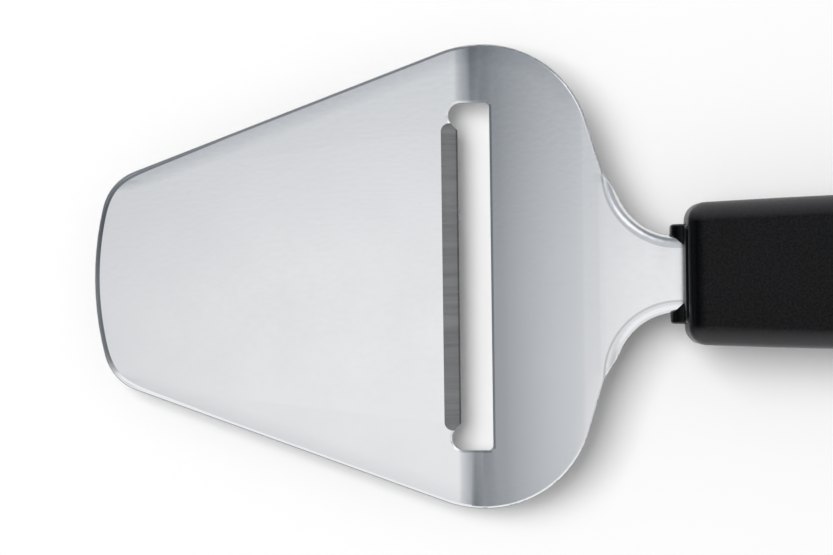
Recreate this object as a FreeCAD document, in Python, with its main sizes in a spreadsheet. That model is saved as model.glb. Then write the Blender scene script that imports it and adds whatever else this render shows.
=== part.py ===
import FreeCAD, Part
import math
import os
import Sketcher

# Cheese plane: a stamped steel blade plate with a black handle moulded round its tang.
# Frame: +Z up, the tool lies along X with its nose at -X and its handle at +X.
# The origin is the middle of the flat sole, on the face that slides over the cheese.

SIZES = {
    # The sheet and its side profile, with the radii of the underside
    "sheet_thickness": 1.0,
    "sole_length": 58.8,
    "bend_radius": 7.2,
    "bend_angle": 22.0,
    "rise_lead": 1.44,
    "neck_slope": 4.5,
    # Outline of the head, seen from above
    "nose_radius": 48.9,
    "nose_corner": 8.0,
    "side_angle": 20.6,
    "head_width": 73.7,
    "shoulder_radius": 17.4,
    "shoulder_setback": 2.6,
    "neck_root": 3.0,
    "fold_lead_angle": 34.0,
    "fold_lead_length": 3.62,
    "fold_start_width": 25.2,
    # Neck with its edges folded down
    "neck_radius": 10.0,
    "neck_width": 12.2,
    "neck_reach": 33.5,
    "fold_radius": 1.7,
    "fold_depth": 3.0,
    "fold_run_in": 7.0,
    "fold_run_drop": 1.2,
    # Tang inside the handle
    "fold_seat": 6.0,
    "tang_length": 64.0,
    "tang_width": 8.0,
    "tang_hole": 4.4,
    "tang_hole_first": 18.0,
    "tang_hole_pitch": 26.0,
    # Slot and its ground edge
    "edge_setback": 0.9,
    "edge_length": 46.6,
    "slot_gap": 5.05,
    "slot_length": 55.2,
    "notch_radius": 2.0,
    "notch_lead_angle": 45.0,
    "slot_corner": 0.85,
    "bevel_width": 2.65,
    "bevel_length": 48.8,
    "bevel_corner": 1.3,
    "edge_land": 0.08,
    # Edges rolled by the punch
    "rim_roll": 0.45,
    # Handle, seen from above
    "handle_setback": 34.65,
    "handle_length": 128.0,
    "handle_width": 25.4,
    "handle_belly": 64.0,
    "handle_side_radius": 1225.0,
    "handle_end_radius": 34.0,
    "handle_end_corner": 9.0,
    # Handle, seen from the side
    "handle_thickness": 13.8,
    "handle_edge_round": 3.4,
    "handle_front_round": 2.8,
    # Collar at the front of the handle
    "collar_width": 15.7,
    "collar_height": 9.4,
    "collar_corner": 1.2,
    "collar_root": 4.0,
    "chin_reach": 2.15,
    "chin_round": 1.9,
    "lip_reach": 0.37,
    "lip_round": 0.85,
    "chin_edge_round": 0.4,
}

# How far the working forms run past the piece that they cut or bound
FORM_MARGIN = 12.0
FORM_HEIGHT = 40.0

# How close a point lies to a face that it counts as part of
TOUCH = 0.01

doc = FreeCAD.newDocument("CheesePlane")
sheet = doc.addObject("Spreadsheet::Sheet", "Sizes")
for row, (alias, amount) in enumerate(SIZES.items(), start=1):
    sheet.set("A%d" % row, alias)
    sheet.set("B%d" % row, "%g" % amount)
    sheet.setAlias("B%d" % row, alias)
doc.recompute()


class Size:
    """A number that keeps the formula which ties it to the sheet."""

    def __init__(self, value, formula):
        self.value = float(value)
        self.formula = formula

    def __float__(self):
        return self.value

    def _joined(self, symbol, other, value):
        text = other.formula if isinstance(other, Size) else "%g" % other
        return Size(value, "(%s %s %s)" % (self.formula, symbol, text))

    def __add__(self, other):
        return self._joined("+", other, self.value + float(other))

    def __sub__(self, other):
        return self._joined("-", other, self.value - float(other))

    def __mul__(self, other):
        return self._joined("*", other, self.value * float(other))

    def __truediv__(self, other):
        return self._joined("/", other, self.value / float(other))

    def __neg__(self):
        return self * -1


class Sheet:
    """Every named size, read from the sheet as a Size."""

    def __getattr__(self, alias):
        return Size(getattr(sheet, alias), "Sizes." + alias)


size = Sheet()

# The roof and the floor of the working forms
FORM_ROOF = Size(FORM_HEIGHT, "%g" % FORM_HEIGHT)
FORM_FLOOR = -FORM_ROOF


def sine(turn):
    return Size(math.sin(math.radians(turn.value)), "sin(%s * 1 deg)" % turn.formula)


def cosine(turn):
    return Size(math.cos(math.radians(turn.value)), "cos(%s * 1 deg)" % turn.formula)


def polar(centre, radius, degrees):
    """The point on a circle at an angle."""
    angle = math.radians(float(degrees))
    return (float(centre[0]) + float(radius) * math.cos(angle),
            float(centre[1]) + float(radius) * math.sin(angle))


def mirrored(point, side):
    """The point itself on side 1, and across the X axis on side -1."""
    return (point[0], float(point[1]) * side)


def between_circles(one, reach_one, other, reach_other):
    """The point at two reaches from two centres, on the left of the way between them."""
    gap = math.hypot(other[0] - one[0], other[1] - one[1])
    along = (reach_one ** 2 - reach_other ** 2 + gap ** 2) / (2 * gap)
    aside = math.sqrt(reach_one ** 2 - along ** 2)
    unit = ((other[0] - one[0]) / gap, (other[1] - one[1]) / gap)
    return (one[0] + along * unit[0] - aside * unit[1], one[1] + along * unit[1] + aside * unit[0])


class Drawing:
    """A sketch on an origin plane of a body, with dimensions driven by the sheet."""

    ORIGIN = (-1, 1)
    X_AXIS, Y_AXIS = range(-1, -3, -1)
    START, END, CENTRE = range(1, 4)

    def __init__(self, body, plane_role, name):
        self.sketch = body.newObject("Sketcher::SketchObject", name)
        plane = [item for item in body.Origin.OriginFeatures if item.Role == plane_role][0]
        self.sketch.AttachmentSupport = [(plane, "")]
        self.sketch.MapMode = "FlatFace"

    def _point(self, place):
        return FreeCAD.Vector(float(place[0]), float(place[1]), 0)

    def _circle(self, centre, radius):
        return Part.Circle(self._point(centre), FreeCAD.Vector(0, 0, 1), float(radius))

    def line(self, start, end):
        return self.sketch.addGeometry(Part.LineSegment(self._point(start), self._point(end)), False)

    def chain(self, *points):
        """Lines from point to point, each meeting the next."""
        lines = [self.line(start, end) for start, end in zip(points, points[1:])]
        for one, other in zip(lines, lines[1:]):
            self.meet((one, 2), (other, 1))
        return lines

    def arc(self, centre, radius, first, last, side=1):
        """A counterclockwise arc and its two ends. Side -1 mirrors it across the X axis."""
        if side < 0:
            first, last = -last, -first
        circle = self._circle(mirrored(centre, side), radius)
        curve = Part.ArcOfCircle(circle, math.radians(first), math.radians(last))
        arc = self.sketch.addGeometry(curve, False)
        ends = [(arc, 1), (arc, 2)]
        return (arc, *ends[::side])

    def circle(self, centre, radius):
        return self.sketch.addGeometry(self._circle(centre, radius), False)

    def meet(self, *ends):
        """The ends of each pair lie on one point."""
        for one, other in zip(ends[::2], ends[1::2]):
            self.sketch.addConstraint(Sketcher.Constraint("Coincident", *one, *other))

    def flow(self, *ends):
        """The ends of each pair meet with one tangent."""
        for one, other in zip(ends[::2], ends[1::2]):
            self.sketch.addConstraint(Sketcher.Constraint("Tangent", *one, *other))

    def level(self, *lines):
        for line in lines:
            self.sketch.addConstraint(Sketcher.Constraint("Horizontal", line))

    def upright(self, *lines):
        for line in lines:
            self.sketch.addConstraint(Sketcher.Constraint("Vertical", line))

    def on_axis(self, geometry, end, axis=X_AXIS):
        self.sketch.addConstraint(Sketcher.Constraint("PointOnObject", geometry, end, axis))

    def _drive(self, constraint, formula):
        index = self.sketch.addConstraint(constraint)
        self.sketch.setExpression("Constraints[%d]" % index, formula)

    def at_x(self, geometry, end, place):
        constraint = Sketcher.Constraint("DistanceX", *self.ORIGIN, geometry, end, place.value)
        self._drive(constraint, place.formula)

    def at_y(self, geometry, end, place):
        constraint = Sketcher.Constraint("DistanceY", *self.ORIGIN, geometry, end, place.value)
        self._drive(constraint, place.formula)

    def radius(self, geometry, length):
        self._drive(Sketcher.Constraint("Radius", geometry, length.value), length.formula)

    def length(self, line, length):
        self._drive(Sketcher.Constraint("Distance", line, length.value), length.formula)

    def angle(self, geometry, turn):
        """The slope of a line, or the span of an arc."""
        constraint = Sketcher.Constraint("Angle", geometry, math.radians(turn.value))
        self._drive(constraint, "%s * 1 deg" % turn.formula)


def prism(body, kind, name, drawing, length=2 * FORM_HEIGHT):
    """A pad or pocket to both sides of its sketch."""
    feature = body.newObject("PartDesign::" + kind, name)
    feature.Profile = drawing.sketch
    feature.SideType = "Symmetric"
    feature.Length = float(length)
    if isinstance(length, Size):
        feature.setExpression("Length", length.formula)
    return feature


def rounding(body, name, base, radius, wanted):
    """A fillet on the edges of the last feature that the test accepts."""
    doc.recompute()
    names = ["Edge%d" % number for number, edge in enumerate(base.Shape.Edges, start=1) if wanted(edge)]
    feature = body.newObject("PartDesign::Fillet", name)
    feature.Base = (base, names)
    feature.Radius = radius.value
    feature.setExpression("Radius", radius.formula)
    return feature


def samples(edge, count=5):
    """Points spread along an edge, its ends included."""
    first, last = edge.ParameterRange
    return [edge.valueAt(first + (last - first) * step / (count - 1)) for step in range(count)]


# Places along the tool, worked out from the sizes
half_sole = size.sole_length / 2
shoulder_x = half_sole + size.shoulder_setback
shoulder_y = size.head_width / 2 - size.shoulder_radius
neck_x = half_sole + size.neck_reach
neck_y = size.neck_width / 2 + size.neck_radius
handle_x = half_sole + size.handle_setback
fold_end_x = handle_x + size.fold_seat
tang_x = handle_x + size.tang_length
tang_half = size.tang_width / 2
edge_x = half_sole - size.edge_setback

# Heights of the side profile, on the underside of the sheet
wall_x = neck_x - size.neck_radius - size.sheet_thickness
rise_x = wall_x - size.rise_lead
rise_radius = (rise_x - half_sole - size.bend_radius * sine(size.bend_angle)) \
    / (sine(size.bend_angle) - sine(size.neck_slope))
rise_z = size.bend_radius - size.bend_radius * cosine(size.bend_angle) \
    + rise_radius * (cosine(size.neck_slope) - cosine(size.bend_angle))
crest_radius = (handle_x - rise_x) / sine(size.neck_slope)
tang_z = rise_z + crest_radius - crest_radius * cosine(size.neck_slope)
tang_top_z = tang_z + size.sheet_thickness
fold_z = tang_top_z - size.fold_depth


def fold_start():
    """Where the fold starts on the neck arc, as a point and an angle seen from the arc's centre."""
    aside = neck_y.value - size.fold_start_width.value / 2
    turn = 180 + math.degrees(math.asin(aside / size.neck_radius.value))
    return polar((neck_x, neck_y), size.neck_radius, turn), turn


def draw_outline(body):
    """The blade plate seen from above: nose, sides, shoulders, neck and tang."""
    draw = Drawing(body, "XY_Plane", "plate_outline")
    nose_x = size.nose_radius - half_sole
    slope, lead = size.side_angle, size.fold_lead_angle
    shoulder = (shoulder_x.value, shoulder_y.value)

    # The corner of the nose lies inside the nose arc and inside the side line
    inside = polar(shoulder, size.shoulder_radius.value - size.nose_corner.value, 90 + slope.value)
    ahead = polar((0, 0), 1, slope.value)
    across = polar((0, 0), 1, 90 + slope.value)
    offset = (inside[0] - nose_x.value) * across[0] + inside[1] * across[1]
    reach = size.nose_radius.value - size.nose_corner.value
    back = math.sqrt(reach ** 2 - offset ** 2)
    corner = (nose_x.value + offset * across[0] - back * ahead[0], offset * across[1] - back * ahead[1])
    nose_turn = math.degrees(math.atan2(corner[1], corner[0] - nose_x.value))

    # The root lies outside the lead of the fold, and a straight edge runs to it from the shoulder
    start, start_turn = fold_start()
    lead_start = polar(start, size.fold_lead_length, 90 + lead.value)
    root = polar(lead_start, size.neck_root, lead.value)
    way = (root[0] - shoulder[0], root[1] - shoulder[1])
    both_radii = size.shoulder_radius.value + size.neck_root.value
    fall = math.degrees(math.atan2(way[1], way[0]) + math.acos(both_radii / math.hypot(*way)))
    shoulder_end = polar(shoulder, size.shoulder_radius, fall)

    nose, *nose_ends = draw.arc((nose_x, 0), size.nose_radius, nose_turn, 360 - nose_turn)
    draw.radius(nose, size.nose_radius)
    draw.at_x(nose, draw.CENTRE, nose_x)
    draw.on_axis(nose, draw.CENTRE)
    cap, cap_lower, cap_upper = draw.arc((tang_x - tang_half, 0), tang_half, -90, 90)
    draw.at_x(cap, draw.CENTRE, tang_x - tang_half)

    for side, nose_end, cap_end in ((1, nose_ends[0], cap_upper), (-1, nose_ends[1], cap_lower)):
        bend, bend_rear, bend_front = draw.arc(corner, size.nose_corner, 90 + slope.value, nose_turn, side)
        flank = draw.line(mirrored(polar(corner, size.nose_corner, 90 + slope.value), side),
                          mirrored(polar(shoulder, size.shoulder_radius, 90 + slope.value), side))
        bow, bow_rear, bow_front = draw.arc(shoulder, size.shoulder_radius, fall,
                                            90 + slope.value, side)
        drop = draw.line(mirrored(shoulder_end, side),
                         mirrored(polar(root, size.neck_root, 180 + fall), side))
        hollow, hollow_front, hollow_rear = draw.arc(root, size.neck_root, 180 + fall,
                                                     180 + lead.value, side)
        lip = draw.line(mirrored(lead_start, side), mirrored(start, side))
        waist, waist_front, waist_rear = draw.arc((neck_x, neck_y), size.neck_radius,
                                                  start_turn, 270, side)
        corners = [(neck_x, size.neck_width / 2), (fold_end_x, size.neck_width / 2),
                   (fold_end_x, tang_half), (tang_x - tang_half, tang_half)]
        neck, step, tang = draw.chain(*[mirrored(point, side) for point in corners])
        draw.flow(nose_end, bend_front, bend_rear, (flank, 1), (flank, 2), bow_front,
                  bow_rear, (drop, 1), (drop, 2), hollow_front, hollow_rear, (lip, 1),
                  waist_rear, (neck, 1), (tang, 2), cap_end)
        draw.meet((lip, 2), waist_front)
        draw.radius(bend, size.nose_corner)
        draw.angle(flank, slope * side)
        draw.radius(bow, size.shoulder_radius)
        draw.at_x(bow, draw.CENTRE, shoulder_x)
        draw.at_y(bow, draw.CENTRE, shoulder_y * side)
        draw.radius(hollow, size.neck_root)
        draw.length(lip, size.fold_lead_length)
        draw.angle(lip, (lead - 90) * side)
        draw.at_y(lip, 2, size.fold_start_width / 2 * side)
        draw.radius(waist, size.neck_radius)
        draw.at_x(waist, draw.CENTRE, neck_x)
        draw.level(neck, tang)
        draw.at_y(neck, 2, size.neck_width / 2 * side)
        draw.at_x(neck, 2, fold_end_x)
        draw.upright(step)
        draw.at_y(tang, 1, tang_half * side)
    return draw


def draw_profile(body, name, lift, close_z):
    """The bent sheet from the side, lifted off its underside and closed at a height."""
    draw = Drawing(body, "XZ_Plane", name)
    front_x = -half_sole - FORM_MARGIN
    back_x = tang_x + FORM_MARGIN
    bend_turn = 270 + size.bend_angle.value
    rise_turn = 90 + size.bend_angle.value
    crest_turn = 90 + size.neck_slope.value
    bend_radius = size.bend_radius - lift
    lifted_rise_radius = rise_radius + lift
    bend_centre = (half_sole.value, size.bend_radius.value)
    rise_centre = polar(bend_centre, size.bend_radius + rise_radius, bend_turn)
    crest_centre = (handle_x.value, tang_z.value - crest_radius.value)

    sole = draw.line((front_x, lift), (half_sole, lift))
    bend, bend_front, bend_rear = draw.arc(bend_centre, bend_radius, 270, bend_turn)
    rise, rise_rear, rise_front = draw.arc(rise_centre, lifted_rise_radius, crest_turn, rise_turn)
    crest, crest_rear, crest_front = draw.arc(crest_centre, crest_radius + lift, 90, crest_turn)
    tang, end, floor, start = draw.chain((handle_x, tang_z + lift), (back_x, tang_z + lift),
                                         (back_x, close_z), (front_x, close_z), (front_x, lift))
    draw.flow((sole, 2), bend_front, bend_rear, rise_front, rise_rear, crest_front,
              crest_rear, (tang, 1))
    draw.meet((start, 2), (sole, 1))
    draw.level(sole, tang, floor)
    draw.upright(end, start)
    draw.at_x(sole, 1, front_x)
    draw.at_y(sole, 1, lift)
    draw.at_x(sole, 2, half_sole)
    draw.radius(bend, bend_radius)
    draw.angle(bend, size.bend_angle)
    draw.radius(rise, lifted_rise_radius)
    draw.angle(rise, size.bend_angle - size.neck_slope)
    draw.at_x(tang, 1, handle_x)
    draw.at_x(tang, 2, back_x)
    draw.at_y(floor, 1, close_z)
    return draw


def draw_slot(body):
    """The slot: a straight rear side, the edge at the front, and a round notch at each end of it."""
    draw = Drawing(body, "XY_Plane", "slot_outline")
    rear_x = edge_x + size.slot_gap
    half_edge = size.edge_length / 2
    half_slot = size.slot_length / 2
    lead = size.notch_lead_angle.value
    corner = (rear_x - size.slot_corner, half_slot - size.slot_corner)
    notch_y = half_slot.value - size.notch_radius.value
    touch = polar((0, 0), size.notch_radius, 270 - lead)
    drop = notch_y + touch[1] - half_edge.value
    notch = (edge_x.value - drop / math.tan(math.radians(lead)) - touch[0], notch_y)

    blade = draw.line((edge_x, -half_edge), (edge_x, half_edge))
    rear = draw.line((rear_x, -corner[1]), (rear_x, corner[1]))
    draw.upright(blade, rear)
    draw.at_x(blade, 1, edge_x)
    draw.at_x(rear, 1, rear_x)
    for side, end in ((1, 2), (-1, 1)):
        lean = draw.line(mirrored(polar(notch, size.notch_radius, 270 - lead), side),
                         mirrored((edge_x, half_edge), side))
        bowl, bowl_rear, bowl_front = draw.arc(notch, size.notch_radius, 90, 270 - lead, side)
        top = draw.line(mirrored((notch[0], half_slot), side), mirrored((corner[0], half_slot), side))
        turn, turn_rear, turn_front = draw.arc(corner, size.slot_corner, 0, 90, side)
        draw.meet((lean, 2), (blade, end))
        draw.flow((lean, 1), bowl_front, bowl_rear, (top, 1), (top, 2), turn_front,
                  turn_rear, (rear, end))
        draw.at_y(blade, end, half_edge * side)
        draw.angle(lean, -size.notch_lead_angle * side)
        draw.radius(bowl, size.notch_radius)
        draw.level(top)
        draw.at_y(top, 1, half_slot * side)
        draw.radius(turn, size.slot_corner)
    return draw


def draw_skirt(body):
    """All that lies below the free edge of the fold, from the side."""
    draw = Drawing(body, "XZ_Plane", "skirt_profile")
    front_x = wall_x
    level_x = front_x + size.fold_run_in
    back_x = tang_x + FORM_MARGIN
    run, drop = size.fold_run_in.value, size.fold_run_drop.value
    run_radius = (run ** 2 + drop ** 2) / (2 * drop)
    run_centre = (level_x.value, fold_z.value + run_radius)
    run_turn = 270 - math.degrees(math.asin(run / run_radius))

    run_in, run_front, run_rear = draw.arc(run_centre, run_radius, run_turn, 270)
    edge, end, floor, start = draw.chain((level_x, fold_z), (back_x, fold_z), (back_x, FORM_FLOOR),
                                         (front_x, FORM_FLOOR), (front_x, fold_z + drop))
    draw.flow(run_rear, (edge, 1))
    draw.meet((start, 2), run_front)
    draw.level(edge, floor)
    draw.upright(end, start)
    draw.at_x(edge, 1, level_x)
    draw.at_y(edge, 1, fold_z)
    draw.at_x(edge, 2, back_x)
    draw.at_y(floor, 1, FORM_FLOOR)
    draw.at_x(start, 1, front_x)
    draw.at_y(start, 2, fold_z + size.fold_run_drop)
    return draw


def draw_walls(body):
    """The strips beside the neck where its folded walls stand, seen from above."""
    draw = Drawing(body, "XY_Plane", "wall_strips")
    reach = size.neck_radius + size.sheet_thickness
    inner_y = size.neck_width / 2 - size.sheet_thickness
    start_turn = fold_start()[1]
    start_y = neck_y - (neck_y - size.fold_start_width / 2) * reach / size.neck_radius
    for side in (1, -1):
        sweep, sweep_front, sweep_rear = draw.arc((neck_x, neck_y), reach, start_turn, 270, side)
        corners = [(neck_x, inner_y), (fold_end_x, inner_y), (fold_end_x, neck_y),
                   (neck_x, neck_y), polar((neck_x, neck_y), reach, start_turn)]
        wall, end, back, front = draw.chain(*[mirrored(point, side) for point in corners])
        draw.flow(sweep_rear, (wall, 1))
        draw.meet((front, 2), sweep_front)
        draw.radius(sweep, reach)
        draw.at_x(sweep, draw.CENTRE, neck_x)
        draw.level(wall, back)
        draw.at_y(wall, 1, inner_y * side)
        draw.upright(end)
        draw.at_x(end, 1, fold_end_x)
        draw.at_y(back, 1, neck_y * side)
        draw.at_x(back, 2, neck_x)
        draw.at_y(front, 2, start_y * side)
    return draw


def draw_bevel(body):
    """The ground face in front of the edge, on the slope itself."""
    draw = Drawing(body, "XY_Plane", "bevel_outline")
    fall = size.sheet_thickness - size.edge_land
    slope = math.degrees(math.atan2(fall.value, size.bevel_width.value))
    ridge_x = edge_x - size.bevel_width
    turn = FreeCAD.Rotation(FreeCAD.Vector(0, 1, 0), slope)
    base = FreeCAD.Vector(ridge_x.value, 0, size.sheet_thickness.value)
    draw.sketch.AttachmentOffset = FreeCAD.Placement(base, turn)
    draw.sketch.setExpression("AttachmentOffset.Base.x", ridge_x.formula)
    draw.sketch.setExpression("AttachmentOffset.Base.z", size.sheet_thickness.formula)
    draw.sketch.setExpression("AttachmentOffset.Rotation.Angle",
                              "atan(%s / %s)" % (fall.formula, size.bevel_width.formula))

    far_x = size.bevel_width * 1.5
    half = size.bevel_length / 2
    corner = (size.bevel_corner, half - size.bevel_corner)
    ridge = draw.line((0, -corner[1]), (0, corner[1]))
    far = draw.line((far_x, -half), (far_x, half))
    draw.upright(ridge, far)
    draw.on_axis(ridge, 1, draw.Y_AXIS)
    draw.at_x(far, 1, far_x)
    for side, end in ((1, 2), (-1, 1)):
        turn, turn_far, turn_near = draw.arc(corner, size.bevel_corner, 90, 180, side)
        top = draw.line(mirrored((corner[0], half), side), mirrored((far_x, half), side))
        draw.flow(turn_near, (ridge, end), turn_far, (top, 1))
        draw.meet((top, 2), (far, end))
        draw.radius(turn, size.bevel_corner)
        draw.level(top)
        draw.at_y(top, 1, half * side)
    return draw


def draw_tang_holes(body):
    """The holes that lock the moulding to the tang."""
    draw = Drawing(body, "XY_Plane", "tang_holes")
    for place in range(2):
        x = handle_x + size.tang_hole_first + size.tang_hole_pitch * place
        hole = draw.circle((x, 0), size.tang_hole / 2)
        draw.radius(hole, size.tang_hole / 2)
        draw.at_x(hole, draw.CENTRE, x)
        draw.on_axis(hole, draw.CENTRE)
    return draw


def draw_grip_plan(body):
    """The grip seen from above, widest at its belly."""
    draw = Drawing(body, "XY_Plane", "grip_plan")
    belly_x = handle_x + size.handle_belly
    side_y = size.handle_width / 2 - size.handle_side_radius
    end_x = handle_x + size.handle_length - size.handle_end_radius
    corner_radius = size.handle_end_corner.value
    side_centre = (belly_x.value, side_y.value)
    end_centre = (end_x.value, 0)
    corner = between_circles(end_centre, size.handle_end_radius.value - corner_radius,
                             side_centre, size.handle_side_radius.value - corner_radius)
    front_y = side_y.value + math.sqrt(size.handle_side_radius.value ** 2 - size.handle_belly.value ** 2)
    front_turn = math.degrees(math.atan2(front_y - side_centre[1], handle_x.value - side_centre[0]))
    side_turn = math.degrees(math.atan2(corner[1] - side_centre[1], corner[0] - side_centre[0]))
    end_turn = math.degrees(math.atan2(corner[1], corner[0] - end_centre[0]))

    front = draw.line((handle_x, -front_y), (handle_x, front_y))
    draw.upright(front)
    draw.at_x(front, 1, handle_x)
    back, *back_ends = draw.arc(end_centre, size.handle_end_radius, -end_turn, end_turn)
    draw.radius(back, size.handle_end_radius)
    draw.at_x(back, draw.CENTRE, end_x)
    draw.on_axis(back, draw.CENTRE)
    for side, front_end, back_end in ((1, (front, 2), back_ends[1]), (-1, (front, 1), back_ends[0])):
        flank, flank_back, flank_front = draw.arc(side_centre, size.handle_side_radius,
                                                  side_turn, front_turn, side)
        turn, turn_back, turn_front = draw.arc(corner, corner_radius, end_turn, side_turn, side)
        draw.meet(front_end, flank_front)
        draw.flow(flank_back, turn_front, turn_back, back_end)
        draw.radius(flank, size.handle_side_radius)
        draw.at_x(flank, draw.CENTRE, belly_x)
        draw.at_y(flank, draw.CENTRE, side_y * side)
        draw.radius(turn, size.handle_end_corner)
    return draw


def draw_collar(body):
    """The collar from the side: a rounded chin below the neck and an upright face above it."""
    draw = Drawing(body, "XZ_Plane", "collar_side")
    chin_x = handle_x - size.chin_reach
    lip_x = handle_x - size.lip_reach
    root_x = handle_x + size.collar_root
    middle_z = tang_z + size.sheet_thickness / 2
    top_z = middle_z + size.collar_height / 2
    floor_z = middle_z - size.collar_height / 2
    round_z = tang_top_z - size.chin_round
    round_x = chin_x + size.chin_round
    meet_turn = math.degrees(math.acos((lip_x.value - round_x.value) / size.chin_round.value))
    meet_z = polar((round_x, round_z), size.chin_round, meet_turn)[1]

    lip, top, root, floor, chin = draw.chain((lip_x, meet_z), (lip_x, top_z), (root_x, top_z),
                                             (root_x, floor_z), (chin_x, floor_z), (chin_x, round_z))
    bow, bow_lip, bow_chin = draw.arc((round_x, round_z), size.chin_round, meet_turn, 180)
    draw.flow((chin, 2), bow_chin)
    draw.meet(bow_lip, (lip, 1))
    draw.upright(chin, lip, root)
    draw.level(top, floor)
    draw.at_x(chin, 1, chin_x)
    draw.radius(bow, size.chin_round)
    draw.at_y(bow, draw.CENTRE, round_z)
    draw.at_x(lip, 2, lip_x)
    draw.at_y(top, 1, top_z)
    draw.at_x(root, 1, root_x)
    draw.at_y(floor, 1, floor_z)
    return draw


def sheet_height(x, lift):
    """How high the bent sheet stands at a place along the tool, on its underside or lifted off it."""
    ahead = x - half_sole.value
    turn = math.radians(size.bend_angle.value)
    reach = size.bend_radius.value + rise_radius.value
    bend = size.bend_radius.value - lift
    rise = rise_radius.value + lift
    crest = crest_radius.value + lift
    rise_end = rise_x.value - half_sole.value - lift * math.sin(math.radians(size.neck_slope.value))
    if ahead <= 0:
        return lift
    if ahead <= bend * math.sin(turn):
        return size.bend_radius.value - math.sqrt(bend ** 2 - ahead ** 2)
    if ahead <= rise_end:
        middle_z = size.bend_radius.value - reach * math.cos(turn)
        return middle_z + math.sqrt(rise ** 2 - (reach * math.sin(turn) - ahead) ** 2)
    if x <= handle_x.value:
        middle_z = tang_z.value - crest_radius.value
        return middle_z + math.sqrt(crest ** 2 - (handle_x.value - x) ** 2)
    return tang_z.value + lift


def on_sheet(edge, lift):
    """True of an edge that lies on the bent sheet."""
    return all(abs(point.z - sheet_height(point.x, lift)) < TOUCH for point in samples(edge))


def beside_neck(edge, reach, half_width):
    """True of an edge at a reach from the centre of a neck arc, or straight along the neck."""
    def near(point):
        if point.x > neck_x.value:
            return abs(abs(point.y) - half_width) < TOUCH and point.x < fold_end_x.value + TOUCH
        gap = math.hypot(point.x - neck_x.value, abs(point.y) - neck_y.value)
        return abs(gap - reach) < TOUCH and abs(point.y) < neck_y.value

    return all(near(point) for point in samples(edge))


def spans(edge):
    """How far an edge runs along each axis."""
    points = samples(edge)
    return [max(places) - min(places) for places in zip(*[(p.x, p.y, p.z) for p in points])]


def on_neck_top(edge):
    return on_sheet(edge, size.sheet_thickness.value) \
        and beside_neck(edge, size.neck_radius.value, size.neck_width.value / 2)


def on_neck_floor(edge):
    thickness = size.sheet_thickness.value
    return on_sheet(edge, 0) and beside_neck(edge, size.neck_radius.value + thickness,
                                             size.neck_width.value / 2 - thickness)


def on_head_rim(edge):
    """True of a top edge of the head, from the nose to the start of the fold."""
    lip_x = fold_start()[0][0]
    before_fold = all(point.x < lip_x + TOUCH for point in samples(edge))
    return before_fold and spans(edge)[0] > TOUCH and on_sheet(edge, size.sheet_thickness.value)


def all_at_x(edge, place):
    return all(abs(point.x - place) < TOUCH for point in samples(edge))


def on_grip_front(edge):
    return all_at_x(edge, handle_x.value)


def on_grip_side(edge):
    """True of a long edge of the grip or of an edge round its end."""
    upright = spans(edge)[0] < TOUCH and spans(edge)[1] < TOUCH
    return not upright and not on_grip_front(edge)


def along_collar(edge):
    """True of a straight edge of the collar that runs along the tool."""
    return spans(edge)[0] > TOUCH and max(spans(edge)[1:]) < TOUCH


def on_collar_lip(edge):
    """True of a free edge of the collar's upper face."""
    at_root = max(point.z for point in samples(edge)) < tang_top_z.value + TOUCH
    return all_at_x(edge, handle_x.value - size.lip_reach.value) and not at_root


def on_chin_side(edge):
    """True of an edge of the chin beside the neck or below it."""
    points = samples(edge)
    ahead = all(point.x < handle_x.value - size.lip_reach.value + TOUCH for point in points)
    low = all(point.z < tang_top_z.value + TOUCH for point in points)
    across = spans(edge)[1] > size.neck_width.value
    return ahead and low and not (across and points[0].z > tang_z.value - size.collar_height.value / 3)


# The form of the plate from outside, with its edges folded over and rolled
outer = doc.addObject("PartDesign::Body", "outer_form")
block = prism(outer, "Pad", "plate_block", draw_outline(outer))
top_profile = draw_profile(outer, "top_profile", size.sheet_thickness, FORM_ROOF)
top_cut = prism(outer, "Pocket", "top_cut", top_profile)
skirt_cut = prism(outer, "Pocket", "skirt_cut", draw_skirt(outer))
outer_fold = rounding(outer, "outer_fold", skirt_cut, size.fold_radius, on_neck_top)
rim_roll = rounding(outer, "rim_roll", outer_fold, size.rim_roll, on_head_rim)
slot_cut = prism(outer, "Pocket", "slot_cut", draw_slot(outer))
bevel_cut = prism(outer, "Pocket", "bevel_cut", draw_bevel(outer), size.bevel_width)
bevel_cut.SideType = "One side"
bevel_cut.Reversed = True
tang_hole_cut = prism(outer, "Pocket", "tang_hole_cut", draw_tang_holes(outer))

# The form under the plate, which leaves one thickness of sheet and the folded walls
inner = doc.addObject("PartDesign::Body", "inner_form")
floor_profile = draw_profile(inner, "floor_profile", size.sheet_thickness * 0, FORM_FLOOR * 1.5)
under_block = prism(inner, "Pad", "under_block", floor_profile, 3 * FORM_HEIGHT)
wall_cut = prism(inner, "Pocket", "wall_cut", draw_walls(inner), 4 * FORM_HEIGHT)
inner_fold = rounding(inner, "inner_fold", wall_cut, size.fold_radius - size.sheet_thickness, on_neck_floor)

blade_plate = doc.addObject("Part::Cut", "blade_plate")
blade_plate.Base = outer
blade_plate.Tool = inner

# The grip, with all its long edges and the edges of its front and end rounded
grip = doc.addObject("PartDesign::Body", "grip_form")
grip_block = prism(grip, "Pad", "grip_block", draw_grip_plan(grip), size.handle_thickness)
grip_block.SideType = "One side"
grip_round = rounding(grip, "grip_round", grip_block, size.handle_edge_round, on_grip_side)
front_round = rounding(grip, "front_round", grip_round, size.handle_front_round, on_grip_front)

# The collar that closes round the neck
collar = doc.addObject("PartDesign::Body", "collar_form")
collar_block = prism(collar, "Pad", "collar_block", draw_collar(collar), size.collar_width)
corner_round = rounding(collar, "corner_round", collar_block, size.collar_corner, along_collar)
lip_round = rounding(collar, "lip_round", corner_round, size.lip_round, on_collar_lip)
chin_round = rounding(collar, "chin_round", lip_round, size.chin_edge_round, on_chin_side)

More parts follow.
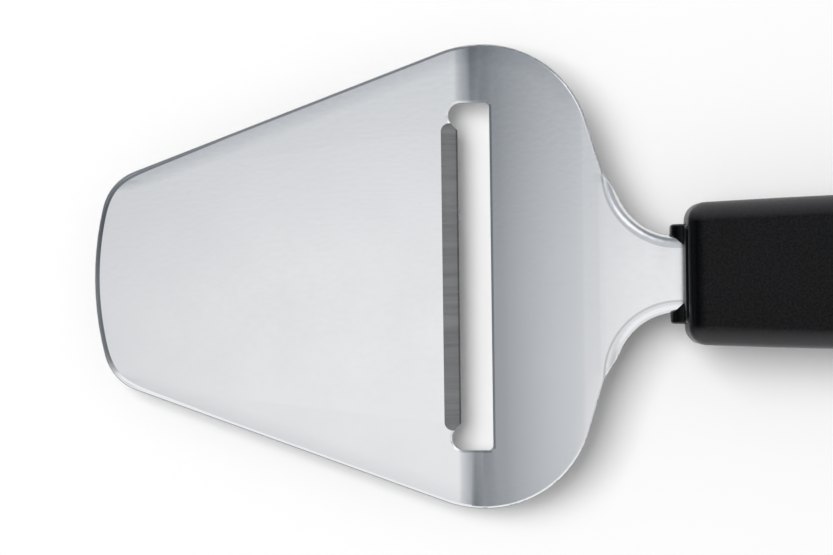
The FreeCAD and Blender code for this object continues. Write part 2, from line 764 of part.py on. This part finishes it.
# The moulding: grip and collar in one, closed tight round the neck and the tang
moulding = doc.addObject("Part::Fuse", "moulding")
moulding.Base = grip
moulding.Tool = collar
handle = doc.addObject("Part::Cut", "handle")
handle.Base = moulding
handle.Tool = blade_plate
doc.recompute()

for item in doc.Objects:
    if "Invalid" in item.State or "Error" in item.State:
        raise RuntimeError("%s did not build: %s" % (item.Name, item.State))

os.makedirs("parts", exist_ok=True)
for part in (blade_plate, handle):
    part.Label = part.Name
    if part.Shape.isNull() or not part.Shape.isValid() or len(part.Shape.Solids) != 1:
        raise RuntimeError("%s is not one valid solid" % part.Name)
    part.Shape.exportStep("parts/%s.step" % part.Label)
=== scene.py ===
import math

import bpy
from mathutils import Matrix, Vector

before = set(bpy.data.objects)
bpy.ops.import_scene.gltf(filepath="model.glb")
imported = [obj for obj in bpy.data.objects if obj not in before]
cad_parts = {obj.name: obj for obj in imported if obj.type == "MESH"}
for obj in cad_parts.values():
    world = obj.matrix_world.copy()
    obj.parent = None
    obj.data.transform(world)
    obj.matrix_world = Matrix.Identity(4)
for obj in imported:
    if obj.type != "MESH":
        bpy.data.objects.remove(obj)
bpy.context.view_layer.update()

MM = 0.001

# Sizes of the part that the materials follow, in metres: the ground edge and its bevel
EDGE_X = 28.5 * MM
RIDGE_X = 25.85 * MM
HALF_BEVEL = 24.4 * MM
BEVEL_SLOPE = math.radians(19.15)
KEEN_START = 0.35 * MM
KEEN_END = 0.15 * MM

# The slot and the round notches at its ends
SLOT_REAR_X = 33.55 * MM
HALF_SLOT = 27.3 * MM
NOTCH = (29.03 * MM, 25.6 * MM)
NOTCH_RADIUS = 2.0 * MM
NOTCH_FRONT_Y = 24.2 * MM

# The outline: the nose, the straight side and the shoulder
NOSE_X = 19.5 * MM
NOSE_RADIUS = 48.9 * MM
NOSE_CORNER_BLEND = 5.0 * MM
SIDE_ANGLE = math.radians(20.6)
SHOULDER = (32.0 * MM, 19.45 * MM)
SHOULDER_RADIUS = 17.4 * MM

# The neck, and the crease where its folds begin, with a fine line of painted shade along it
NECK = (62.9 * MM, 16.1 * MM)
NECK_SIDE = 16.2 * MM
CREASE_RADIUS = 11.85 * MM
CREASE_SHADE_WIDTH = (0.10 * MM, 0.26 * MM)
CREASE_SHADE_TONE = 0.70

# The solid's bend, and the bend where the photograph shows it, a little further forward
BEND_ANGLE = math.radians(20.6)
BEND_START = 29.4 * MM
BEND_LENGTH = 2.45 * MM
SHOWN_BEND_START = 27.95 * MM
SHOWN_BEND_LENGTH = 2.7 * MM

# The rim: its round, a steep band inside it that narrows from the nose back, and a faint wide fall
RIM = 0.36 * MM
STEEP_WIDTH = (0.44 * MM, 0.12 * MM)
STEEP_NARROWS = (-26 * MM, -8 * MM)
STEEP_END_X = 30 * MM
STEEP_SLOPE = 0.5
WIDE_WIDTH = 3.2 * MM
WIDE_CURVE = 6.5
WIDE_SIDE = (14.5 * MM, 16 * MM)

# The rolled edges of the slot, how steep they are, and where they begin and stop ahead of the rear lip
SLOT_RIM = 0.35 * MM
SLOT_REAR_SLOPE = 0.16
SLOT_REAR_BEGINS = 1.0 * MM
SLOT_END_SLOPE = (0.28, 0.12)
SLOT_END_STOPS = 0.3 * MM

# Faces whose normal rises less than this, the cut of the punch and the steepest part of the rim's round, are
# painted darker as shade along the edge
CUT_RISE = 0.75
CUT_RISE_AT_FOLDS = 0.3
BEVEL_MATCH = 0.999

# Shading: vertices this close are one, and edges sharper than this angle stay sharp
WELD_DISTANCE = 0.001 * MM
SHARP_EDGE = math.radians(26)

# The middle of each noise pattern, which is spread over the whole range
CLOUD_RANGE = (0.3, 0.7)
STEEL_GRAIN_RANGE = (0.2, 0.8)
PLASTIC_GRAIN_RANGE = (0.35, 0.65)

# Steel: its tint, the range of its roughness, the stretch of its grain and how deep the grain is
SATIN = ((0.782, 0.785, 0.797), (0.178, 0.202), (1.0, 1.6, 1.0), 0.004 * MM)
# The cut walls are rougher, and their dark tint is painted shade along the edges
CUT_SHADED = ((0.32, 0.325, 0.33), (0.28, 0.38), (1.0, 1.0, 3.0), 0.01 * MM)
GROUND = ((0.225, 0.225, 0.235), (0.26, 0.34), (0.25, 4.0, 1.0), 0.02 * MM)
STEEL_CLOUD_SCALE = 70
STEEL_GRAIN_SCALE = 900
STEEL_GRAIN_DARK = 0.93
STEEL_GRAIN_ROUGH = 0.03

# The bevel: its grey, the bands that the grinding left, and painted shade along its keen edge
BEVEL_GREY = 0.205
BAND_SCALE = 110
BAND_DETAIL = 4
BAND_STRETCH = (0.12, 5.0, 1.0)
BAND_UNEVEN = 0.7
BAND_TONE = (0.80, 1.22)
KEEN_SHADE_TONE = 0.45

# The plastic: its black from deep to light, the grey of a painted highlight on its long edges, and its gloss
DEEP_BLACK = (0.0004, 0.0004, 0.0006)
LIGHT_BLACK = (0.0080, 0.0080, 0.0088)
SHEEN_GREY = (0.060, 0.060, 0.063)
PLASTIC_ROUGH = (0.30, 0.37)
PLASTIC_SPECULAR = 0.12

# The grain of the plastic, and how much of its tone comes from the grain and from broad clouds
PLASTIC_CLOUD_SCALE = 60
PLASTIC_CLOUD_SHARE = 0.3
PLASTIC_GRAIN_SCALE = 2600
PLASTIC_GRAIN_SHARE = 0.7
PLASTIC_GRAIN_DETAIL = 2
PLASTIC_GRAIN_DEPTH = 0.06 * MM
PLASTIC_GRAIN_STRENGTH = 0.8

# How far aside the faces with the painted highlight look, and how far forward the faces darkened by painted
# shade look
SHEEN_TURN = (0.1, 0.9)
FRONT_SHADE_TURN = (-0.6, -0.2)

# The floor lies this far below the sole, so that the slot shows the shade that it has in the photograph
FLOOR_Z = -4.6 * MM
FLOOR_SIDE = 12
FLOOR_WHITE = (0.92, 0.92, 0.92, 1)
FLOOR_ROUGH = 0.9
FLOOR_SPECULAR = 0.1

# The key lamp, in metres and watts, and how bright the studio is on matt surfaces beside it
KEY_PLACE = Vector((-1.52, 0.79, 3.61))
KEY_AIM = Vector((0.03, 0, 0))
KEY_SIDE = 2.53
KEY_POWER = 131.0
AMBIENT = (0.435, 0.435, 0.435)

# What gloss shows of the studio: places from -1 to 1 along X or Y, and how bright each is
STUDIO_ALONG = ((-1.0, 0.16), (-0.85, 0.22), (-0.76, 0.26), (-0.68, 0.31), (-0.62, 0.44), (-0.5, 0.60),
                (-0.34, 0.75), (-0.18, 0.82), (-0.1, 0.95), (-0.04, 1.11), (0.02, 1.18), (0.1, 1.12),
                (0.62, 1.0), (1.0, 0.8))
STUDIO_ACROSS = ((-1.0, 0.95), (-0.3, 0.80), (-0.1, 0.85), (-0.05, 1.00), (-0.02, 1.13), (0.0, 1.13),
                 (0.04, 0.81), (0.08, 0.63), (0.15, 0.54), (0.4, 0.62), (0.6, 0.50), (0.8, 0.32), (1.0, 0.28))
LAMP_ALONG = ((0.12, 0), (0.3, 0.9), (0.5, 0.9), (0.62, 0))
LAMP_ACROSS = ((0.12, 0), (0.3, 0.9), (0.6, 0.9), (0.75, 0))
PLAIN_SIDE = (-0.3, -0.6)
PLAIN_BRIGHT = (1.12, 1.13, 1.15)
WHITE = (1, 1, 1)
COLDNESS = 0.10

# The camera, straight above, as the photograph was taken
LENS = 135
SENSOR_WIDTH = 36
CAMERA_PLACE = (21.70 * MM, -0.02 * MM, 497 * MM)
CAMERA_TURN = math.radians(-0.75)
CAMERA_REACH = (0.01, 20)


def new_material(name):
    """A material with an empty node tree but for its shader and output."""
    material = bpy.data.materials.new(name)
    material.use_nodes = True
    nodes = material.node_tree.nodes
    nodes.clear()
    output = nodes.new("ShaderNodeOutputMaterial")
    shader = nodes.new("ShaderNodeBsdfPrincipled")
    material.node_tree.links.new(shader.outputs["BSDF"], output.inputs["Surface"])
    return material, shader


class Nodes:
    """Short ways to build the nodes of a material or of the world."""

    def __init__(self, owner):
        self.tree = owner.node_tree

    def new(self, kind, **settings):
        """A node with these inputs and settings."""
        node = self.tree.nodes.new(kind)
        for key, value in settings.items():
            if key in node.inputs:
                node.inputs[key].default_value = value
            else:
                setattr(node, key, value)
        return node

    def link(self, output, target):
        self.tree.links.new(output, target)

    def feed(self, socket, value):
        """A node's output, a colour or a number into a socket."""
        if isinstance(value, bpy.types.NodeSocket):
            self.link(value, socket)
        elif isinstance(value, tuple):
            socket.default_value = (*value, 1)
        else:
            socket.default_value = value

    def parts(self, vector):
        """The X, Y and Z of a vector."""
        parts = self.new("ShaderNodeSeparateXYZ")
        self.link(vector, parts.inputs[0])
        return parts.outputs["X"], parts.outputs["Y"], parts.outputs["Z"]

    def place(self, scale=(1, 1, 1)):
        """Object coordinates, stretched by a scale per axis."""
        place = self.new("ShaderNodeTexCoord")
        mapping = self.new("ShaderNodeMapping")
        mapping.inputs["Scale"].default_value = scale
        self.link(place.outputs["Object"], mapping.inputs["Vector"])
        return mapping.outputs["Vector"]

    def noise(self, scale, detail=3, stretch=(1, 1, 1), roughness=0.5):
        """A cloudy pattern from 0 to 1."""
        noise = self.new("ShaderNodeTexNoise", Scale=scale, Detail=detail, Roughness=roughness)
        self.link(self.place(stretch), noise.inputs["Vector"])
        return noise.outputs["Fac"]

    def ranged(self, value, low, high, new_low=0, new_high=1):
        """A value moved from one range to another and kept inside it."""
        ends = {"From Min": low, "From Max": high, "To Min": new_low, "To Max": new_high}
        ranged = self.new("ShaderNodeMapRange", **ends)
        self.link(value, ranged.inputs["Value"])
        return ranged.outputs["Result"]

    def mixed(self, factor, one, other, blend="MIX"):
        """A mix of two colours, each a node's output or plain numbers."""
        mix = self.new("ShaderNodeMix", data_type="RGBA", blend_type=blend)
        # The node has a pair of inputs for each kind of value: 6 and 7 are colours, and so is output 2
        for socket, value in zip((mix.inputs["Factor"], *mix.inputs[6:8]), (factor, one, other)):
            self.feed(socket, value)
        return mix.outputs[2]

    def math(self, operation, *values):
        """One sum of numbers and node outputs."""
        node = self.new("ShaderNodeMath", operation=operation)
        for socket, value in zip(node.inputs, values):
            self.feed(socket, value)
        return node.outputs[0]

    def times(self, value, *factors):
        """The product of several values."""
        for factor in factors:
            value = self.math("MULTIPLY", value, factor)
        return value

    def bump(self, height, distance, strength=1.0, under=None):
        """A normal tilted by a height, over the normal under it."""
        bump = self.new("ShaderNodeBump", Strength=strength, Distance=distance)
        self.link(height, bump.inputs["Height"])
        if under:
            self.link(under, bump.inputs["Normal"])
        return bump.outputs["Normal"]

    def reach(self, one, other):
        """Length of a flat vector."""
        return self.math("SQRT", self.math("ADD", self.times(one, one), self.times(other, other)))

    def fall(self, width, depth, limit=None):
        """How far a place lies inside a band of this width, up to a limit."""
        inside = self.math("MAXIMUM", self.math("SUBTRACT", width, depth), 0)
        return inside if limit is None else self.math("MINIMUM", inside, limit)


def outline_depth(nodes, x, aside):
    """How far a place lies inside the outline of the head."""
    # Inside the side line and the shoulder, seen from the middle of the shoulder
    back = nodes.math("SUBTRACT", x, SHOULDER[0])
    out = nodes.math("SUBTRACT", aside, SHOULDER[1])
    cosine, sine = math.cos(SIDE_ANGLE), math.sin(SIDE_ANGLE)
    along = nodes.math("ADD", nodes.times(back, cosine), nodes.times(out, sine))
    across = nodes.math("SUBTRACT", nodes.times(out, cosine), nodes.times(back, sine))
    away = nodes.reach(nodes.math("MAXIMUM", along, 0), nodes.math("MAXIMUM", across, 0))
    side = nodes.math("SUBTRACT", SHOULDER_RADIUS, away)

    # Inside the nose, and the round corner between the two
    ahead = nodes.math("MINIMUM", nodes.math("SUBTRACT", x, NOSE_X), 0)
    nose = nodes.math("SUBTRACT", NOSE_RADIUS, nodes.reach(ahead, aside))
    return nodes.math("SMOOTH_MIN", side, nose, NOSE_CORNER_BLEND)


def slot_drop(nodes, x, aside):
    """How much the edge of the slot is rolled down, at its rear and round its two ends."""
    rear = nodes.fall(SLOT_RIM, nodes.math("SUBTRACT", x, SLOT_REAR_X), SLOT_RIM)
    rear = nodes.times(rear, nodes.math("LESS_THAN", aside, HALF_SLOT),
                       nodes.math("GREATER_THAN", x, SLOT_REAR_X - SLOT_REAR_BEGINS), SLOT_REAR_SLOPE)
    away = nodes.reach(nodes.math("MINIMUM", nodes.math("SUBTRACT", x, NOTCH[0]), 0),
                       nodes.math("SUBTRACT", aside, NOTCH[1]))
    end = nodes.fall(NOTCH_RADIUS + SLOT_RIM, away, SLOT_RIM)
    end = nodes.times(end, nodes.math("LESS_THAN", x, SLOT_REAR_X - SLOT_END_STOPS),
                      nodes.math("GREATER_THAN", aside, NOTCH_FRONT_Y),
                      nodes.ranged(x, NOTCH[0], SLOT_REAR_X, *SLOT_END_SLOPE))
    return nodes.math("ADD", rear, end)


def bend_height(nodes, x, start, length):
    """Height of a sheet that is bent up from the start over the length, and runs on straight."""
    past = nodes.math("MAXIMUM", nodes.math("SUBTRACT", x, start), 0)
    turned = nodes.math("MINIMUM", past, length)
    slope = math.tan(BEND_ANGLE)
    curved = nodes.times(turned, turned, slope / (2 * length))
    return nodes.math("ADD", curved, nodes.times(nodes.math("SUBTRACT", past, turned), slope))


def shifted_bend(nodes, x):
    """What the shown bend adds to the solid's, upward on both faces of the sheet."""
    added = nodes.math("SUBTRACT", bend_height(nodes, x, SHOWN_BEND_START, SHOWN_BEND_LENGTH),
                       bend_height(nodes, x, BEND_START, BEND_LENGTH))
    upward = nodes.parts(nodes.new("ShaderNodeNewGeometry").outputs["True Normal"])[2]
    return nodes.times(added, nodes.math("SIGN", upward))


def sheet_form(nodes):
    """The polished sheet falls away towards its punched edges, most of all round the nose."""
    x, y, _ = nodes.parts(nodes.place())
    aside = nodes.math("ABSOLUTE", y)
    depth = outline_depth(nodes, x, aside)
    band = nodes.ranged(x, *STEEP_NARROWS, *STEEP_WIDTH)
    steep = nodes.fall(nodes.math("ADD", band, RIM), depth, band)
    steep = nodes.times(steep, nodes.math("LESS_THAN", x, STEEP_END_X), STEEP_SLOPE)
    wide = nodes.math("POWER", nodes.fall(WIDE_WIDTH, depth), 2)
    wide = nodes.times(wide, nodes.ranged(aside, *WIDE_SIDE), WIDE_CURVE)
    drop = nodes.math("ADD", nodes.math("ADD", steep, wide), slot_drop(nodes, x, aside))
    return nodes.bump(nodes.math("SUBTRACT", shifted_bend(nodes, x), drop), 1.0)


def crease_shade_line(nodes):
    """A fine line of painted shade, as a share of the brightness, round the middle of the neck's arc."""
    x, y, _ = nodes.parts(nodes.place())
    aside = nodes.math("ABSOLUTE", y)
    away = nodes.reach(nodes.math("SUBTRACT", x, NECK[0]), nodes.math("SUBTRACT", aside, NECK[1]))
    off = nodes.math("ABSOLUTE", nodes.math("SUBTRACT", away, CREASE_RADIUS))
    line = nodes.ranged(off, *CREASE_SHADE_WIDTH, CREASE_SHADE_TONE, 1.0)
    return nodes.math("MAXIMUM", line, nodes.math("GREATER_THAN", aside, NECK_SIDE))


def steel(name, tint, rough, stretch, grain_depth, form=None):
    """Steel with a fine grain, cloudy in its polish."""
    material, shader = new_material(name)
    nodes = Nodes(material)
    shader.inputs["Metallic"].default_value = 1.0
    cloud = nodes.noise(STEEL_CLOUD_SCALE)
    fine = nodes.noise(STEEL_GRAIN_SCALE, stretch=stretch)
    color = nodes.mixed(fine, tuple(part * STEEL_GRAIN_DARK for part in tint), tint)
    nodes.link(color, shader.inputs["Base Color"])
    polish = nodes.math("ADD", nodes.ranged(cloud, *CLOUD_RANGE, *rough),
                        nodes.ranged(fine, *STEEL_GRAIN_RANGE, -STEEL_GRAIN_ROUGH, STEEL_GRAIN_ROUGH))
    nodes.link(polish, shader.inputs["Roughness"])
    under = form(nodes) if form else None
    nodes.link(nodes.bump(fine, grain_depth, under=under), shader.inputs["Normal"])
    return material, shader, nodes, color


def satin_steel():
    """The polished sheet, with a line of painted shade where the folds of the neck begin."""
    material, shader, nodes, color = steel("satin_steel", *SATIN, form=sheet_form)
    # A line of painted shade darkens the colour where the folds of the neck begin
    nodes.link(nodes.mixed(1.0, color, crease_shade_line(nodes), "MULTIPLY"), shader.inputs["Base Color"])
    return material


def shaded_cut_steel():
    """The walls that the punch left, rougher, with their tint darkened as painted shade along the edges."""
    return steel("shaded_cut_steel", *CUT_SHADED)[0]


def ground_steel():
    """The bevel, with the bands that the grinding left across it and painted shade along its keen edge."""
    material, shader, nodes, _ = steel("ground_steel", *GROUND)
    bands = nodes.noise(BAND_SCALE, BAND_DETAIL, BAND_STRETCH, BAND_UNEVEN)
    x = nodes.parts(nodes.place())[0]
    # The colour darkens towards the keen edge as painted shade
    keen_shade = nodes.ranged(x, EDGE_X - KEEN_START, EDGE_X - KEEN_END, 1.0, KEEN_SHADE_TONE)
    tone = nodes.times(nodes.ranged(bands, *CLOUD_RANGE, *BAND_TONE), keen_shade, BEVEL_GREY)
    color = nodes.new("ShaderNodeCombineColor")
    for socket in color.inputs:
        nodes.link(tone, socket)
    nodes.link(color.outputs[0], shader.inputs["Base Color"])
    return material


def black_plastic():
    """Moulded black plastic, with the fine matt grain of an etched mould, a painted highlight on its long
    edges and painted shade on its front.
    """
    material, shader = new_material("black_plastic")
    nodes = Nodes(material)
    cloud = nodes.noise(PLASTIC_CLOUD_SCALE)
    grain = nodes.noise(PLASTIC_GRAIN_SCALE, PLASTIC_GRAIN_DETAIL)
    speckle = nodes.math("ADD", nodes.ranged(grain, *PLASTIC_GRAIN_RANGE, 0, PLASTIC_GRAIN_SHARE),
                         nodes.ranged(cloud, *CLOUD_RANGE, 0, PLASTIC_CLOUD_SHARE))

    # The long edges are painted paler as a painted highlight, and the front is painted deepest black as
    # painted shade
    normal_x, normal_y, _ = nodes.parts(nodes.new("ShaderNodeNewGeometry").outputs["Normal"])
    painted_sheen = nodes.ranged(nodes.math("ABSOLUTE", normal_y), *SHEEN_TURN)
    speckle = nodes.times(speckle, nodes.ranged(normal_x, *FRONT_SHADE_TURN))
    black = nodes.mixed(speckle, DEEP_BLACK, LIGHT_BLACK)
    nodes.link(nodes.mixed(painted_sheen, black, SHEEN_GREY), shader.inputs["Base Color"])
    nodes.link(nodes.ranged(cloud, *CLOUD_RANGE, *PLASTIC_ROUGH), shader.inputs["Roughness"])
    shader.inputs["Specular IOR Level"].default_value = PLASTIC_SPECULAR
    nodes.link(nodes.bump(grain, PLASTIC_GRAIN_DEPTH, PLASTIC_GRAIN_STRENGTH), shader.inputs["Normal"])
    return material


def smooth(piece):
    """Round faces shade smooth, flat faces stay flat, and sharp edges stay sharp."""
    mesh = piece.data
    if "custom_normal" in mesh.attributes:
        mesh.attributes.remove(mesh.attributes["custom_normal"])
    mesh.polygons.foreach_set("use_smooth", [True] * len(mesh.polygons))
    weld = piece.modifiers.new("weld", "WELD")
    weld.merge_threshold = WELD_DISTANCE
    split = piece.modifiers.new("split", "EDGE_SPLIT")
    split.split_angle = SHARP_EDGE
    piece.modifiers.new("weight", "WEIGHTED_NORMAL")


def dress(piece, *materials):
    """The piece in these materials, one slot for each."""
    piece.data.materials.clear()
    for material in materials:
        piece.data.materials.append(material)
    smooth(piece)


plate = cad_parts["blade_plate"]
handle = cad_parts["handle"]
dress(plate, satin_steel(), ground_steel(), shaded_cut_steel())
dress(handle, black_plastic())

# The bevel is ground steel, and the punch's walls and the steepest rounds are cut steel darkened as painted
# shade, but for the folds of the neck
satin_slot, ground_slot, shaded_cut_slot = range(3)
bevel_normal = Vector((math.sin(BEVEL_SLOPE), 0, math.cos(BEVEL_SLOPE)))
for face in plate.data.polygons:
    on_bevel = RIDGE_X < face.center.x < EDGE_X and abs(face.center.y) < HALF_BEVEL
    on_folds = abs(face.center.y) <= NECK_SIDE and face.center.x >= 0
    if on_bevel and face.normal.dot(bevel_normal) > BEVEL_MATCH:
        face.material_index = ground_slot
    elif abs(face.normal.z) < (CUT_RISE_AT_FOLDS if on_folds else CUT_RISE):
        face.material_index = shaded_cut_slot
    else:
        face.material_index = satin_slot

# Floor
bpy.ops.mesh.primitive_plane_add(size=FLOOR_SIDE, location=(0, 0, FLOOR_Z))
floor = bpy.context.object
floor.name = "floor"
floor_paint, shader = new_material("pale_floor")
shader.inputs["Roughness"].default_value = FLOOR_ROUGH
shader.inputs["Base Color"].default_value = FLOOR_WHITE
shader.inputs["Specular IOR Level"].default_value = FLOOR_SPECULAR
floor.data.materials.append(floor_paint)

# One soft square key lamp
lamp = bpy.data.lights.new("key", "AREA")
lamp.shape = "SQUARE"
lamp.size = KEY_SIDE
lamp.energy = KEY_POWER
key = bpy.data.objects.new("key", lamp)
bpy.context.scene.collection.objects.link(key)
key.location = KEY_PLACE
key.rotation_euler = (KEY_AIM - KEY_PLACE).to_track_quat("-Z", "Y").to_euler()
key.visible_camera = False
key.visible_glossy = False

# The studio round the object: bright overhead and towards the viewer, darker beyond the nose
world = bpy.data.worlds.new("studio")
bpy.context.scene.world = world
world.use_nodes = True
studio = Nodes(world)
background = world.node_tree.nodes["Background"]


def ramp(value, stops):
    """Brightness along one axis of the studio, from -1 to 1, a little bluer where it is darker."""
    node = studio.new("ShaderNodeValToRGB")
    elements = node.color_ramp.elements
    while len(elements) < len(stops):
        elements.new(0.5)
    for element, (place, level) in zip(elements, stops):
        cold = COLDNESS * max(0, 1 - level)
        element.position = (place + 1) / 2
        element.color = (level * (1 - cold), level, level * (1 + cold), 1)
    studio.link(studio.ranged(value, -1, 1), node.inputs["Fac"])
    return node.outputs["Color"]


def combined(operation, *colors):
    """Two or three colours in one sum, which may pass 1."""
    node = studio.new("ShaderNodeVectorMath", operation=operation)
    for socket, color in zip(node.inputs, colors):
        studio.link(color, socket)
    return node.outputs[0]


# What metal and gloss show of the studio
east, north, _ = studio.parts(studio.new("ShaderNodeTexCoord").outputs["Generated"])
graded = combined("MULTIPLY", ramp(east, STUDIO_ALONG), ramp(north, STUDIO_ACROSS))

# A lamp that the upper fold of the neck shows
lit = combined("MULTIPLY_ADD", ramp(east, LAMP_ALONG), ramp(north, LAMP_ACROSS), graded)

# On the side that is low in the photograph the studio is plain and bright
plain = studio.mixed(studio.ranged(north, *PLAIN_SIDE), lit, PLAIN_BRIGHT)

# What lights everything else, and the white behind it all
light_path = studio.new("ShaderNodeLightPath")
gloss = studio.mixed(light_path.outputs["Is Glossy Ray"], AMBIENT, plain)
white = studio.mixed(light_path.outputs["Is Camera Ray"], gloss, WHITE)
studio.link(white, background.inputs["Color"])
background.inputs["Strength"].default_value = 1.0

# Camera
camera_data = bpy.data.cameras.new("camera")
camera_data.lens = LENS
camera_data.sensor_width = SENSOR_WIDTH
camera_data.clip_start, camera_data.clip_end = CAMERA_REACH
camera = bpy.data.objects.new("camera", camera_data)
bpy.context.scene.collection.objects.link(camera)
camera.location = CAMERA_PLACE
camera.rotation_euler = (0, 0, CAMERA_TURN)
bpy.context.scene.camera = camera

bpy.context.scene.view_settings.view_transform = "Standard"
